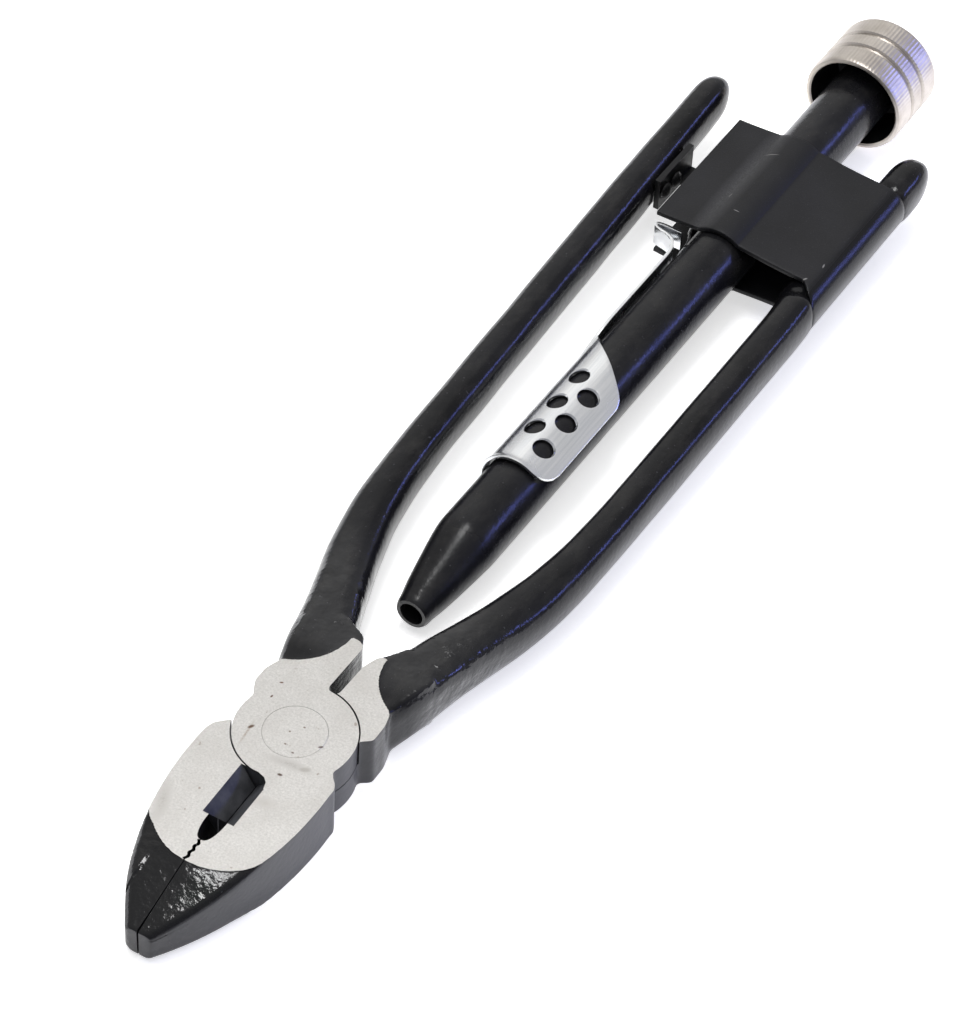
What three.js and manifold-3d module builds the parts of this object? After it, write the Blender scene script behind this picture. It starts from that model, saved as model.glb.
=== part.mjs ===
// Lock-wire twisting pliers: lap-jointed combination pliers with a pull-and-spin twister between the handles.
// Units are millimetres. The pivot's axis is Z, the twister's tube runs along +Y, and the head's flat
// underside lies at z = 0 with the origin on the pivot's axis.
import * as THREE from 'three';
import { mergeVertices } from 'three/addons/utils/BufferGeometryUtils.js';
import Module from 'manifold-3d';

const wasm = await Module();
wasm.setup();

// Head and jaws
const headThickness = 10.1;
const midZ = headThickness / 2;
const bossRadius = 9.7;
const rivetRadius = 5.1;
const rivetClearance = 0.08;
const lapGap = 0.2;
const lapArcGap = 0.25;
const jawLength = 42;
const jawHalfWidth = 11.8;
const jawTipHalfWidth = 2.2;
const jawTipTop = 6.6;
const jawTipBottom = 0.8;
const jawGap = 0.16;
const jawYaw = THREE.MathUtils.degToRad(1.9);
const jawOffsetX = -0.75;
const cutterStart = 9.6;
const cutterEnd = 20.3;
const cutterHalfWidth = 2.75;
const cutterDepth = 3.6;
const gripHalfWidth = 1.6;
const gripEnd = 25;
const toothCount = 3;
const toothPitch = 1.35;
const toothDepth = 0.45;

// Handles
const handleSection = 2.5;
const leftHandleTurn = THREE.MathUtils.degToRad(2.4);

// Twister tube, rod and knob
const tubeX = -1.7;
const tubeRadius = 5.5;
const tubeBore = 4.5;
const noseY = 35.2;
const noseTaperY = 51;
const noseRadius = 2.9;
const noseBore = 2.1;
const noseDrop = 2.2;
const tubeEndY = 184;
const rodLead = 40;
const rodWidth = 5;
const rodThickness = 1.9;
const rodStartY = 66;
const rodFlatEndY = 185.6;
const journalRadius = 1.3;
const journalBore = 1.55;
const nutY = 172;
const nutLength = 8;
const nutRadius = 4.4;
const slotClearance = 0.65;
const followerY = 58;
const followerLength = 7;
const knobY = 178.7;
const knobLength = 13.1;
const knobRadius = 9.55;
const knobBore = 8.4;
const knobWall = 3.2;
const knobEndY = knobY + knobLength;
const washerGap = 0.2;
const washerThickness = 0.7;
const screwSeatY = knobEndY + washerThickness + washerGap * 2;
const screwRadius = 1;
const screwLength = 6;

// Bracket
const sheet = 0.9;
const bracketFrontY = 130.5;
const bracketBackY = 159;
const wrapFrontY = 126.6;
const bracketLeftX = -13.9;
const bracketLeftZ = 9.8;
const bracketShoulderZ = 10.45;
const wrapX = 15.1;
const wrapRadius = 4.5;

// Lock slide and lug
const slideSheet = 0.55;
const sleeveRadius = 5.75;
const sleeveFrontY = 65.5;
const sleeveRearY = 101;
const slideTopZ = 8.3;
const curlBottomZ = 4.35;
const tongueTopZ = 4.1;
const tongueBottomZ = 1.2;
const lugY = 146;
const lugWidth = 4;
const lugNotch = 2;
const lockTravel = 4;

const steel = new THREE.MeshStandardMaterial({ color: '#b9b4ae', roughness: 0.45, metalness: 0.9 });
const blackPaint = new THREE.MeshStandardMaterial({ color: '#17181a', roughness: 0.3, metalness: 0.1 });
const plated = new THREE.MeshStandardMaterial({ color: '#d9dcdf', roughness: 0.2, metalness: 1 });
const satin = new THREE.MeshStandardMaterial({ color: '#c9c4bc', roughness: 0.35, metalness: 1 });
const springSteel = new THREE.MeshStandardMaterial({ color: '#6f7173', roughness: 0.35, metalness: 1 });
const brass = new THREE.MeshStandardMaterial({ color: '#b99a52', roughness: 0.35, metalness: 1 });

// Leaves position only, with shared vertices merged and every face pointing out.
function closedBody(geometry) {
  const bare = geometry.clone();
  bare.deleteAttribute('normal');
  bare.deleteAttribute('uv');
  const merged = mergeVertices(bare, 1e-4);
  const position = merged.getAttribute('position');
  const index = merged.getIndex();
  const kept = [];
  const corners = [new THREE.Vector3(), new THREE.Vector3(), new THREE.Vector3()];
  let volume = 0;
  for (let i = 0; i < index.count; i += 3) {
    const ids = [index.getX(i), index.getX(i + 1), index.getX(i + 2)];
    if (new Set(ids).size < 3) continue;
    kept.push(ids);
    ids.forEach((id, corner) => corners[corner].fromBufferAttribute(position, id));
    volume += corners[0].dot(corners[1].clone().cross(corners[2]));
  }
  merged.setIndex(kept.flatMap(([a, b, c]) => (volume < 0 ? [a, c, b] : [a, b, c])));
  return merged;
}

function toManifold(geometry) {
  const body = closedBody(geometry);
  return new wasm.Manifold(new wasm.Mesh({
    numProp: 3,
    vertProperties: new Float32Array(body.getAttribute('position').array),
    triVerts: new Uint32Array(body.getIndex().array),
  }));
}

function toGeometry(manifold) {
  const mesh = manifold.getMesh();
  const geometry = new THREE.BufferGeometry();
  geometry.setAttribute('position', new THREE.BufferAttribute(mesh.vertProperties, 3));
  geometry.setIndex(new THREE.BufferAttribute(mesh.triVerts, 1));
  return geometry;
}

function join(...geometries) {
  return toGeometry(geometries.map(toManifold).reduce((whole, next) => whole.add(next)));
}

function cut(geometry, ...tools) {
  const start = toManifold(geometry);
  return toGeometry(tools.map(toManifold).reduce((whole, tool) => whole.subtract(tool), start));
}

// An outline in the XY plane, raised from one height to another.
function plate(shape, bottom, top, curveSegments = 12) {
  const settings = { depth: top - bottom, bevelEnabled: false, curveSegments };
  return new THREE.ExtrudeGeometry(shape, settings).translate(0, 0, bottom);
}

// An outline in the XZ plane, run along Y from one station to another.
function bar(shape, fromY, toY, curveSegments = 12) {
  const settings = { depth: toY - fromY, bevelEnabled: false, curveSegments };
  return new THREE.ExtrudeGeometry(shape, settings).rotateX(Math.PI / 2).translate(0, toY, 0);
}

function box(minX, maxX, minY, maxY, minZ, maxZ) {
  const geometry = new THREE.BoxGeometry(maxX - minX, maxY - minY, maxZ - minZ);
  return geometry.translate((minX + maxX) / 2, (minY + maxY) / 2, (minZ + maxZ) / 2);
}

function disc(radius, bottom, top, segments = 64) {
  const geometry = new THREE.CylinderGeometry(radius, radius, top - bottom, segments);
  return geometry.rotateX(Math.PI / 2).translate(0, 0, (bottom + top) / 2);
}

// A shape turned about the tube's axis, from pairs of radius and y.
function turned(profile, segments = 32) {
  const points = profile.map(([radius, y]) => new THREE.Vector2(radius, y));
  return new THREE.LatheGeometry(points, segments).translate(tubeX, 0, midZ);
}

function ringPiece(inner, outer, fromY, toY, segments = 32) {
  return turned([[inner, fromY], [outer, fromY], [outer, toY], [inner, toY], [inner, fromY]], segments);
}

function roundBar(radius, fromY, toY, segments = 20) {
  return turned([[0, fromY], [radius, fromY], [radius, toY], [0, toY]], segments);
}

function outline(points) {
  return new THREE.Shape(points.map(([x, y]) => new THREE.Vector2(x, y)));
}

// Joins rings of points into one closed body: capped at both ends, or closed on itself as a hollow one is.
function loft(rings, closedOnItself = false) {
  const count = rings[0].length;
  const index = [];
  const spans = closedOnItself ? rings.length : rings.length - 1;
  for (let i = 0; i < spans; i++) {
    const here = i * count;
    const next = ((i + 1) % rings.length) * count;
    for (let j = 0; j < count; j++) {
      const k = (j + 1) % count;
      index.push(here + j, next + k, here + k, here + j, next + j, next + k);
    }
  }
  if (!closedOnItself) {
    const end = (rings.length - 1) * count;
    for (let j = 1; j < count - 1; j++) {
      index.push(0, j, j + 1, end, end + j + 1, end + j);
    }
  }
  const geometry = new THREE.BufferGeometry();
  const positions = rings.flat().flatMap((point) => point.toArray());
  geometry.setAttribute('position', new THREE.Float32BufferAttribute(positions, 3));
  geometry.setIndex(index);
  return geometry;
}

// One ring of a superellipse: x and y of its centre, half its width and height, and the run's heading.
function sectionRing(x, y, z, halfWidth, halfHeight, heading = 0, exponent = 2, sides = 16) {
  const ring = [];
  for (let i = 0; i < sides; i++) {
    const turn = (i / sides) * 2 * Math.PI;
    const across = halfWidth * Math.sign(Math.cos(turn)) * Math.abs(Math.cos(turn)) ** (2 / exponent);
    const up = halfHeight * Math.sign(Math.sin(turn)) * Math.abs(Math.sin(turn)) ** (2 / exponent);
    ring.push(new THREE.Vector3(x + across * Math.cos(heading), y - across * Math.sin(heading), z + up));
  }
  return ring;
}

// The bar of a handle through its stations: x, y, half width and half height of each.
function handleBar(stations) {
  const rings = stations.map(([x, y, halfWidth, halfHeight], i) => {
    const before = stations[Math.max(i - 1, 0)];
    const after = stations[Math.min(i + 1, stations.length - 1)];
    const heading = Math.atan2(after[0] - before[0], after[1] - before[1]);
    return sectionRing(x, y, midZ, halfWidth, halfHeight, heading, handleSection);
  });
  return loft(rings);
}

// Both handles share their forging from the neck to the straight grip.
const neckStations = [
  [6.4, 12, 4.2, 4.9],
  [7.7, 19.5, 5, 5.02],
  [9.1, 25, 4.7, 5],
  [11, 31.5, 4.5, 5],
  [13.4, 40, 4.35, 4.9],
  [15.2, 49.5, 3.95, 4.7],
  [16.1, 60, 3.6, 4.5],
  [16.4, 72, 3.5, 4.4],
  [16.4, 120, 3.5, 4.4],
];
const handleEnd = [
  [16.3, 164, 3.5, 4.3],
  [16.3, 168, 3.1, 3.8],
  [16.2, 170.6, 2.1, 2.6],
  [16.2, 171.6, 0.9, 1.2],
];
const bracketGrip = [
  [15.3, 126.6, 3.2, 3.4],
  [wrapX, 129, 3.1, 3.1],
  [wrapX, 159.5, 3.1, 3.1],
];

// Outline of the right-hand jaw in its own frame: +x away from the split, tip at -jawLength.
function jawOutline(side) {
  const inner = jawGap / 2;
  const teeth = [];
  for (let i = 0; i <= toothCount * 2; i++) {
    const reach = i % 2 ? toothDepth / 2 : -toothDepth / 2;
    teeth.push([inner + side * reach, -gripEnd - (i * toothPitch) / 2]);
  }
  const arcRise = jawLength - 10;
  const arcInset = jawHalfWidth - jawTipHalfWidth;
  const arcRadius = (arcInset ** 2 + arcRise ** 2) / (2 * arcInset);
  const shape = outline([[inner, -4], [inner, -cutterEnd]]);
  const gripMiddle = (cutterEnd + gripEnd) / 2;
  const gripReach = (gripEnd - cutterEnd) / 2;
  for (let i = 0; i <= 6; i++) {
    const turn = (i / 6) * Math.PI;
    shape.lineTo(inner + gripHalfWidth * Math.sin(turn) ** 0.7, gripReach * Math.cos(turn) - gripMiddle);
  }
  teeth.forEach(([x, y]) => shape.lineTo(x, y));
  shape.lineTo(inner, teeth[teeth.length - 1][1]);
  shape.lineTo(inner, -jawLength);
  const centreX = jawHalfWidth - arcRadius;
  const tipTurn = -Math.asin(arcRise / arcRadius);
  shape.lineTo(jawTipHalfWidth, -jawLength);
  shape.absarc(centreX, -10, arcRadius, tipTurn, 0, false);
  shape.lineTo(11.9, -7.5);
  shape.lineTo(11.3, -5.4);
  shape.lineTo(10.6, -4.7);
  shape.lineTo(9.9, -3.8);
  shape.lineTo(6, -2);
  return shape;
}

// The wedges that thin the nose towards its tip, above and below, as outlines in y and z.
function noseWedges() {
  const reach = jawLength + 1;
  const top = outline([[-27, headThickness], [-34, 9], [-reach, jawTipTop - 0.3], [-reach, 14], [-27, 14]]);
  const bottom = outline([[-30, 0], [-30, -3], [-reach, -3], [-reach, jawTipBottom + 0.05]]);
  return [top, bottom].map((shape) => {
    const wedge = new THREE.ExtrudeGeometry(shape, { depth: 40, bevelEnabled: false });
    return wedge.rotateY(Math.PI / 2).rotateX(Math.PI / 2).translate(-20, 0, 0);
  });
}

// The side cutters' V grooves, one in each face of the head.
function cutterGrooves() {
  const half = cutterHalfWidth;
  const upper = [[-half, headThickness], [0, headThickness - cutterDepth], [half, headThickness], [0, 14]];
  const lower = upper.map(([x, z]) => [x, headThickness - z]);
  return [upper, lower].map((points) => bar(outline(points), -cutterEnd, -cutterStart));
}

// One jaw at full thickness. side is 1 for the jaw at the right, -1 for the one at the left.
function jaw(side) {
  const blank = plate(jawOutline(side), 0, headThickness, 10);
  if (side < 0) blank.scale(-1, 1, 1);
  const shaped = cut(blank, ...noseWedges(), ...cutterGrooves());
  return shaped.rotateZ(jawYaw).translate(jawOffsetX, 0, 0);
}

// One half of the pliers: a jaw, a neck and handle at full thickness, and a boss at half thickness that
// laps the other half's boss. lapBottom and lapTop are the boss's own layer.
function forgedHalf(jawBody, neckShape, handle, lapBottom, lapTop) {
  const body = join(jawBody, plate(neckShape, 0, headThickness), handle);
  const otherBottom = lapBottom > 0 ? -1 : midZ - lapGap / 2;
  const otherTop = lapBottom > 0 ? midZ + lapGap / 2 : headThickness + 1;
  const cleared = cut(body, disc(bossRadius + lapArcGap, otherBottom, otherTop));
  const hole = disc(rivetRadius + rivetClearance, -1, headThickness + 1, 48);
  return cut(join(cleared, disc(bossRadius, lapBottom, lapTop)), hole);
}

function leftHalf() {
  const neck = outline([
    [-0.7, 4], [-0.7, 19.6], [-2.2, 22.2], [-6, 24], [-12.4, 20.4], [-10.8, 14.5], [-10.1, 10.4],
    [-10.9, 8], [-10.9, 5.2], [-9.8, 3], [-5, 1],
  ]);
  const handle = handleBar([...neckStations, ...handleEnd]);
  handle.scale(-1, 1, 1).rotateZ(leftHandleTurn);
  const half = forgedHalf(jaw(1), neck, handle, midZ + lapGap / 2, headThickness);
  const seat = box(-19.1, -10, lugY - 8, lugY + lugWidth + 0.5, 0, headThickness);
  const pinHoles = lugRivetYs().map((y) => crossPin(1.05, y, -22.2, -10));
  return cut(half, seat, ...pinHoles);
}

function rightHalf() {
  const neck = outline([
    [1.25, 4], [1.35, 16.6], [2.3, 19.6], [5, 24], [12.2, 20.4], [10.5, 14.4], [9.9, 11.6],
    [10.7, 8.4], [10.8, 5.2], [9.4, 4.1], [5, 1],
  ]);
  const handle = handleBar([...neckStations, ...bracketGrip, ...handleEnd]);
  return forgedHalf(jaw(-1), neck, handle, 0, midZ - lapGap / 2);
}

// The tube is hollow from end to end. Its nose is drawn down with the underside kept straight.
function spindleTube() {
  const stations = [
    [noseY, noseRadius, -noseDrop],
    [noseY + 2, noseRadius + 0.35, -noseDrop + 0.3],
    [noseTaperY - 3, tubeRadius - 0.45, -0.35],
    [noseTaperY, tubeRadius, 0],
    [tubeEndY, tubeRadius, 0],
  ];
  const boreStations = [
    [tubeEndY, tubeBore, 0],
    [noseTaperY, tubeBore, 0],
    [noseY, noseBore, -noseDrop],
  ];
  const ring = ([y, radius, drop]) => sectionRing(tubeX, y, midZ + drop, radius, radius, 0, 2, 32);
  const tube = loft([...stations, ...boreStations].map(ring), true);
  const pinHoles = [-1, 1].map((side) => nutPin(side, 1.1, 0.4));
  return cut(tube, ...pinHoles);
}

// A pin across the tube's wall into the drive nut. spare lengthens it at both ends.
function nutPin(side, radius, spare) {
  const length = 2 + spare * 2;
  const pin = new THREE.CylinderGeometry(radius, radius, length, 16).rotateZ(Math.PI / 2);
  const middle = tubeRadius - 1;
  return pin.translate(tubeX + side * middle, nutY + nutLength / 2, midZ);
}

// The flat bar of the rod, twisted about its own length. grow thickens it, to cut the nut's slot.
function twistedBar(fromY, toY, grow = 0) {
  const length = toY - fromY;
  const steps = Math.ceil(length / 2);
  const flat = new THREE.BoxGeometry(rodWidth + grow, length, rodThickness + grow, 1, steps, 1);
  flat.translate(0, (fromY + toY) / 2, 0);
  const position = flat.getAttribute('position');
  for (let i = 0; i < position.count; i++) {
    const turn = (position.getY(i) / rodLead) * 2 * Math.PI;
    const x = position.getX(i);
    const z = position.getZ(i);
    position.setX(i, x * Math.cos(turn) + z * Math.sin(turn));
    position.setZ(i, z * Math.cos(turn) - x * Math.sin(turn));
  }
  return flat.translate(tubeX, 0, midZ);
}

function twistRod() {
  const journal = roundBar(journalRadius, followerY - 2.4, rodStartY + 1);
  const shank = roundBar(2, rodFlatEndY - 1, knobEndY + 0.1);
  const tapping = roundBar(screwRadius + 0.25, screwSeatY - screwLength - 0.4, screwSeatY);
  return cut(join(twistedBar(rodStartY, rodFlatEndY), journal, shank), tapping);
}

function thrustWasher() {
  return ringPiece(journalBore, 2.7, followerY + followerLength + 0.2, rodStartY - 0.2);
}

function driveNut() {
  const plug = roundBar(nutRadius, nutY, nutY + nutLength, 32);
  const slot = twistedBar(nutY - 2, nutY + nutLength + 2, slotClearance * 2);
  const pinHoles = [-1, 1].map((side) => nutPin(side, 1.1, 0.4));
  return cut(plug, slot, ...pinHoles);
}

function returnSpring() {
  const turns = 15;
  const stepsPerTurn = 10;
  const wire = 0.4;
  const coil = 3.65;
  const from = followerY + followerLength + wire + 0.3;
  const to = nutY - wire - 0.3;
  const rings = [];
  for (let i = 0; i <= turns * stepsPerTurn; i++) {
    const part = i / (turns * stepsPerTurn);
    const turn = part * turns * 2 * Math.PI;
    const ring = [];
    for (let j = 0; j < 5; j++) {
      const round = (j / 5) * 2 * Math.PI;
      const radius = coil + wire * Math.cos(round);
      const y = from + part * (to - from) + wire * Math.sin(round);
      ring.push(new THREE.Vector3(tubeX + radius * Math.cos(turn), y, midZ + radius * Math.sin(turn)));
    }
    rings.push(ring);
  }
  return loft(rings);
}

// The knob is a cup that opens towards the jaws. Two grooves part its grip into three bands.
function knobShell() {
  const grooves = [knobY + 4.2, knobY + 7.4];
  const end = knobY + knobLength;
  const profile = [[knobBore, knobY + 0.4], [knobBore + 0.4, knobY], [knobRadius - 0.5, knobY]];
  profile.push([knobRadius, knobY + 0.5]);
  grooves.forEach((y) => {
    profile.push([knobRadius, y - 0.5], [knobRadius - 0.55, y - 0.2], [knobRadius - 0.55, y + 0.2]);
    profile.push([knobRadius, y + 0.5]);
  });
  profile.push([knobRadius, end - 1.3], [knobRadius - 1.3, end], [2.3, end], [2.3, end - knobWall]);
  profile.push([knobBore, end - knobWall], [knobBore, knobY + 0.4]);
  return turned(profile, 48);
}

function knobWasher() {
  const from = knobEndY + washerGap;
  return ringPiece(2.1, 4.4, from, from + washerThickness);
}

function knobScrew() {
  const seat = screwSeatY;
  const shank = [[0, seat - screwLength], [screwRadius, seat - screwLength], [screwRadius, seat]];
  const head = [[3.6, seat], [3.6, seat + 1], [2.6, seat + 1.9], [0, seat + 2.1]];
  const screw = turned([...shank, ...head], 32);
  const slot = box(tubeX - 4, tubeX + 4, seat + 1, seat + 3, midZ - 0.45, midZ + 0.45);
  return cut(screw, slot);
}

// The bracket's section in x and z: top plate, round the handle, bottom plate, with a bulge over the tube.
function bracketSection() {
  const outerBulge = tubeRadius + 0.25 + sheet;
  const rise = Math.asin((bracketShoulderZ - midZ) / outerBulge);
  const innerBulge = tubeRadius + 0.25;
  const innerRise = Math.asin((bracketShoulderZ - sheet - midZ) / innerBulge);
  const inner = wrapRadius - sheet;
  const low = (z) => headThickness - z;
  const shape = new THREE.Shape();
  shape.moveTo(bracketLeftX, bracketLeftZ);
  shape.lineTo(tubeX - outerBulge * Math.cos(rise), bracketShoulderZ);
  shape.absarc(tubeX, midZ, outerBulge, Math.PI - rise, rise, true);
  shape.absarc(wrapX, midZ, wrapRadius, Math.PI / 2, -Math.PI / 2, true);
  shape.lineTo(tubeX + outerBulge * Math.cos(rise), low(bracketShoulderZ));
  shape.absarc(tubeX, midZ, outerBulge, -rise, rise - Math.PI, true);
  shape.lineTo(bracketLeftX, low(bracketLeftZ));
  shape.lineTo(bracketLeftX, low(bracketLeftZ) + sheet);
  shape.lineTo(tubeX - innerBulge * Math.cos(innerRise), low(bracketShoulderZ) + sheet);
  shape.absarc(tubeX, midZ, innerBulge, innerRise - Math.PI, -innerRise, false);
  shape.absarc(wrapX, midZ, inner, -Math.PI / 2, Math.PI / 2, false);
  shape.lineTo(tubeX + innerBulge * Math.cos(innerRise), bracketShoulderZ - sheet);
  shape.absarc(tubeX, midZ, innerBulge, innerRise, Math.PI - innerRise, false);
  shape.lineTo(bracketLeftX, bracketLeftZ - sheet);
  return shape;
}

function handleBracket() {
  const folded = bar(bracketSection(), wrapFrontY, bracketBackY, 8);
  const front = outline([
    [bracketLeftX - 1, wrapFrontY - 1], [wrapX + 5.5, wrapFrontY - 1], [wrapX + 4, wrapFrontY],
    [wrapX, bracketFrontY], [bracketLeftX - 1, bracketFrontY],
  ]);
  return cut(folded, plate(front, -5, 20));
}

// A strip of sheet on edge: a path in x and y with square bends, raised from one height to another.
function edgeStrip(path, thickness, bottom, top) {
  const half = thickness / 2;
  const side = (sign) => path.map(([x, y], i) => {
    const before = path[Math.max(i - 1, 0)];
    const after = path[Math.min(i + 1, path.length - 1)];
    const run = new THREE.Vector2(after[0] - before[0], after[1] - before[1]).normalize();
    return [x + sign * half * run.y, y - sign * half * run.x];
  });
  return plate(outline([...side(1), ...side(-1).reverse()]), bottom, top);
}

// The thumb sleeve: sheet curled over the tube, cut slanting at the rear and pierced in two rows.
function thumbSleeve() {
  const outer = sleeveRadius + slideSheet;
  const rightTurn = THREE.MathUtils.degToRad(8);
  const leftTurn = THREE.MathUtils.degToRad(200);
  const section = new THREE.Shape();
  section.absarc(tubeX, midZ, outer, rightTurn, leftTurn, false);
  section.absarc(tubeX, midZ, sleeveRadius, leftTurn, rightTurn, true);
  const curled = bar(section, sleeveFrontY, sleeveRearY, 16);
  const slant = outline([
    [8, 88], [4, 88.5], [1, 92], [-3, 96], [-6.5, sleeveRearY - 1], [-6.6, sleeveRearY + 1],
    [8, sleeveRearY + 1],
  ]);
  const corner = outline([[8, sleeveFrontY - 1], [8, 70], [3.9, 69], [3.3, 66.6], [1.5, sleeveFrontY - 1]]);
  const holePitch = 6.9;
  const holes = [];
  for (let i = 0; i < 3; i++) {
    [[-3.5, 74.4], [0.1, 71]].forEach(([x, y]) => {
      const drill = new THREE.CylinderGeometry(1.8, 1.8, 8, 16).rotateX(Math.PI / 2);
      drill.rotateY((x - tubeX) / sleeveRadius);
      holes.push(drill.translate(x, y + i * holePitch, midZ + sleeveRadius));
    });
  }
  return cut(curled, plate(slant, midZ, 14), plate(corner, midZ - 2, 14), ...holes);
}

// The slide in one piece of sheet: sleeve, side strip, hairpin stop above and windowed lock tongue below.
function lockSlide() {
  const stripX = tubeX - sleeveRadius - slideSheet / 2;
  const strip = edgeStrip([[stripX, 93], [stripX, 121.5]], slideSheet, tongueBottomZ, slideTopZ);
  const hairpin = edgeStrip([
    [stripX, 121], [stripX, 124.6], [stripX - 0.5, 126.6], [-9.6, 128.2], [-12.4, 128.55], [-13.2, 129.2],
    [-12.6, 129.85], [stripX - 0.6, 129.85],
  ], slideSheet, curlBottomZ, slideTopZ);
  const tongueX = -10.1;
  const tongue = edgeStrip([
    [stripX, 121], [stripX, 132], [tongueX, 136], [tongueX, 157],
  ], slideSheet, tongueBottomZ, tongueTopZ);
  const windowFront = lugY - 3;
  const windowRear = lugY + lugWidth - lugNotch + lockTravel + 0.2;
  const window = box(-12, -9, windowFront, windowRear, tongueBottomZ + 0.55, tongueTopZ - 0.55);
  return cut(join(thumbSleeve(), strip, hairpin, tongue), window);
}

function lugRivetYs() {
  return [lugY - 5.7, lugY - 2.3];
}

function crossPin(radius, y, fromX, toX) {
  const pin = new THREE.CylinderGeometry(radius, radius, toX - fromX, 16).rotateZ(Math.PI / 2);
  return pin.translate((fromX + toX) / 2, y, midZ);
}

// The lug: a flange riveted to the handle's inner side, and an arm with a notch for the tongue.
function lockLug() {
  const flange = box(-18.8, -17.8, lugY - 7.5, lugY + lugWidth, 1.8, headThickness - 1.8);
  const arm = outline([
    [-18.2, lugY], [-7.6, lugY], [-7.2, lugY + 0.6], [-7.2, lugY + lugWidth], [-9.3, lugY + lugWidth],
    [-9.3, lugY + lugWidth - lugNotch], [-11, lugY + lugWidth - lugNotch], [-11, lugY + lugWidth],
    [-18.2, lugY + lugWidth],
  ]);
  const body = join(flange, plate(arm, tongueBottomZ + 0.8, tongueTopZ - 0.8));
  return cut(body, ...lugRivetYs().map((y) => crossPin(1.05, y, -22, -10)));
}

function lugRivet(y) {
  const head = new THREE.SphereGeometry(1.6, 16, 6, 0, Math.PI * 2, 0, Math.PI / 2).scale(1, 0.55, 1);
  const base = new THREE.CircleGeometry(1.6, 16).rotateX(Math.PI / 2);
  const dome = closedBody(mergeParts(head, base)).rotateZ(-Math.PI / 2).translate(-17.6, y, midZ);
  return join(dome, crossPin(0.9, y, -21.6, -17.4));
}

// Puts two open surfaces that share an edge into one.
function mergeParts(first, second) {
  const positions = [first, second].flatMap((g) => [...g.toNonIndexed().getAttribute('position').array]);
  const merged = new THREE.BufferGeometry();
  merged.setAttribute('position', new THREE.Float32BufferAttribute(positions, 3));
  return merged;
}

const pliers = new THREE.Group();

function addPart(name, geometry, material) {
  const mesh = new THREE.Mesh(closedBody(geometry), material);
  mesh.name = name;
  pliers.add(mesh);
}

addPart('left_half', leftHalf(), blackPaint);
addPart('right_half', rightHalf(), blackPaint);
addPart('pivot_rivet', disc(rivetRadius, 0, headThickness, 48), steel);
addPart('spindle_tube', spindleTube(), blackPaint);
addPart('handle_bracket', handleBracket(), blackPaint);
addPart('drive_nut', driveNut(), brass);
addPart('nut_pin_left', nutPin(-1, 0.8, 0), springSteel);
addPart('nut_pin_right', nutPin(1, 0.8, 0), springSteel);
addPart('twist_rod', twistRod(), plated);
addPart('rod_follower', ringPiece(journalBore, 4.2, followerY, followerY + followerLength), brass);
addPart('thrust_washer', thrustWasher(), springSteel);
addPart('rod_clip', ringPiece(journalBore, 2.6, followerY - 1.4, followerY - 0.4), springSteel);
addPart('return_spring', returnSpring(), springSteel);
addPart('knob_shell', knobShell(), satin);
addPart('knob_washer', knobWasher(), plated);
addPart('knob_screw', knobScrew(), plated);
addPart('lock_slide', lockSlide(), plated);
addPart('lock_lug', lockLug(), springSteel);
lugRivetYs().forEach((y, i) => addPart(i ? 'lug_rivet_rear' : 'lug_rivet_front', lugRivet(y), plated));

export default pliers;
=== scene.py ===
"""Lock-wire twisting pliers: enamelled forged halves, a twister tube and knob, a thumb lock slide.

Lengths in this file are millimetres in the part's own frame. They become metres as a mesh is made.
The pivot's axis is Z, the tube runs along +Y and the head's flat underside lies at z = 0.
"""

import math

import bmesh
import bpy
import numpy as np
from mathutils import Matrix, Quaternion, Vector, noise


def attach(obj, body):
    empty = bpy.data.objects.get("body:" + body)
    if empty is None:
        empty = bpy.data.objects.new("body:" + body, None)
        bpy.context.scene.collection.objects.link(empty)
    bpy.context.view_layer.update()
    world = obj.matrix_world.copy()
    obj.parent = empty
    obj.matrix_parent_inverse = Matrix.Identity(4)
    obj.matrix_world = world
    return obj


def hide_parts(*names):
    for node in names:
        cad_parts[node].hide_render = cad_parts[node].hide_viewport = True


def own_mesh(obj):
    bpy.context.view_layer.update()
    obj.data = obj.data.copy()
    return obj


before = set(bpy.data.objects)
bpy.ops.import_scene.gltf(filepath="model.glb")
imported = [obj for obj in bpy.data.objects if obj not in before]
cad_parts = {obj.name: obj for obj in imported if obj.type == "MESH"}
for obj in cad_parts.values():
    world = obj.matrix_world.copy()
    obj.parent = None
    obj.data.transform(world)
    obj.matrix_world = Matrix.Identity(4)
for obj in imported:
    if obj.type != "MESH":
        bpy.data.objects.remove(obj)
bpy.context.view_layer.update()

MM = 0.001

# Head and jaws
HEAD = 10.1
MID = HEAD / 2
BOSS_RADIUS = 9.7
LAP_RADIUS = 9.95
LAP_GAP = 0.2
RIVET_RADIUS = 5.1
RIVET_HOLE = 5.105
JAW_LENGTH = 42
JAW_HALF = 11.8
TIP_HALF = 2.2
JAW_GAP = 0.16
JAW_YAW = math.radians(1.9)
JAW_OFFSET = -0.75
CUTTER_START = 9.6
CUTTER_END = 20.3
CUTTER_HALF = 2.75
CUTTER_DEPTH = 3.6
GRIP_HALF = 1.6
GRIP_END = 25.0
TOOTH_COUNT = 3
TOOTH_PITCH = 1.35
TOOTH_DEPTH = 0.45
LEFT_TURN = math.radians(2.4)

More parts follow.
